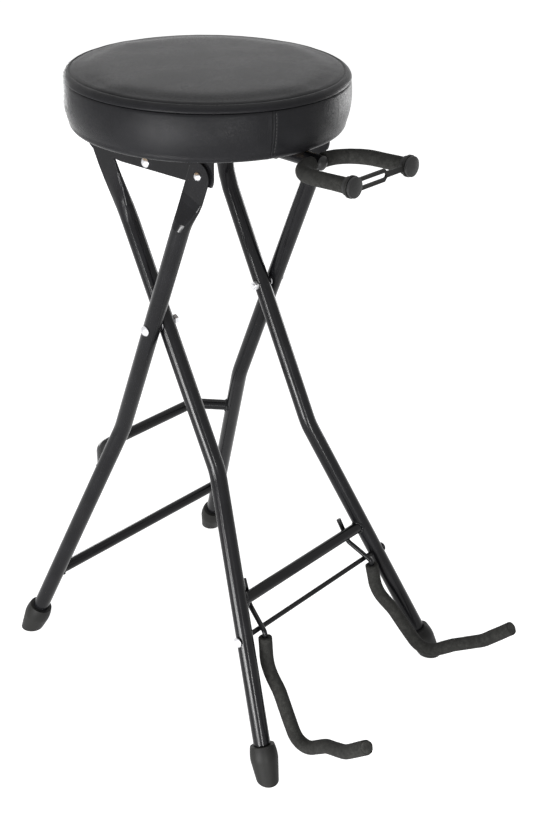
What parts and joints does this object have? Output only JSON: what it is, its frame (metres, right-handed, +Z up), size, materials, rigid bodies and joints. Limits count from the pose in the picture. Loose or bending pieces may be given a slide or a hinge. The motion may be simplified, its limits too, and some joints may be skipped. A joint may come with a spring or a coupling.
{
  "type": "folding guitar stool",
  "caption": "Round padded stool on a folding tubular X frame, with a padded neck yoke and a swinging body cradle that hold a guitar.",
  "frame": {"origin": "on the floor, under the middle of the whole object's box as it stands open", "axes": "+Z up; +X to the right seen from the guitar's side; the guitar hangs on the -Y side, the footrest bar is on the +Y side"},
  "size_m": [0.3646, 0.565, 0.7545],
  "materials": {
    "frame_black": "black semi-gloss powder coat",
    "seat_vinyl": "grained charcoal vinyl",
    "seat_foam": "open-cell foam",
    "plywood": "raw plywood",
    "bright_zinc": "bright zinc plate",
    "black_rubber": "moulded rubber",
    "foam_sleeve": "matt closed-cell foam",
    "black_plastic": "matt moulded plastic"
  },
  "bodies": {
    "front_frame": {"front_left_leg": "frame_black", "front_right_leg": "frame_black", "front_crossbar": "frame_black", "front_left_foot": "black_rubber", "front_right_foot": "black_rubber", "crossing_bolts": "bright_zinc", "crossing_washers": "bright_zinc", "crossing_nuts": "bright_zinc", "seat_pivot_bolts": "bright_zinc", "seat_pivot_nuts": "bright_zinc"},
    "rear_frame": {"rear_left_leg": "frame_black", "rear_right_leg": "frame_black", "footrest_bar": "frame_black", "rear_crossbar": "frame_black", "rear_left_foot": "black_rubber", "rear_right_foot": "black_rubber", "seat_latch_pins": "bright_zinc"},
    "seat": {"seat_board": "plywood", "seat_foam": "seat_foam", "seat_top_cover": "seat_vinyl", "seat_side_cover": "seat_vinyl", "left_seat_bracket": "frame_black", "right_seat_bracket": "frame_black", "bracket_screws": "bright_zinc", "bracket_tie_rod": "frame_black", "tie_rod_screws": "bright_zinc", "front_yoke_clamp": "frame_black", "rear_yoke_clamp": "frame_black", "yoke_clamp_screws": "bright_zinc"},
    "yoke": {"yoke_stem": "frame_black", "yoke_stem_plug": "black_plastic", "yoke_fork": "frame_black", "left_yoke_sleeve": "foam_sleeve", "right_yoke_sleeve": "foam_sleeve", "left_yoke_cap": "black_plastic", "right_yoke_cap": "black_plastic", "yoke_strap": "black_rubber"},
    "cradle": {"cradle_rod": "frame_black", "left_cradle_arm": "frame_black", "right_cradle_arm": "frame_black", "left_cradle_sleeve": "foam_sleeve", "right_cradle_sleeve": "foam_sleeve", "cradle_screws": "bright_zinc"}
  },
  "joints": [
    {"name": "fold", "type": "hinge", "parent": "front_frame", "child": "rear_frame", "pos_m": [0, 0.08558, 0.4786], "axis": [-1, 0, 0], "range_deg": [0, 38]},
    {"name": "seat_lift", "type": "hinge", "parent": "front_frame", "child": "seat", "pos_m": [0, 0.17748, 0.67402], "axis": [-1, 0, 0], "range_deg": [0, 114]},
    {"name": "yoke_slide", "type": "slide", "parent": "seat", "child": "yoke", "axis": [0, 1, 0], "range_m": [0, 0.04]},
    {"name": "cradle_swing", "type": "hinge", "parent": "front_frame", "child": "cradle", "pos_m": [0, -0.07948, 0.1458], "axis": [-1, 0, 0], "range_deg": [0, 100]}
  ],
  "couplings": [
    {"joint": "seat_lift", "follows": "fold", "ratio": 3}
  ]
}
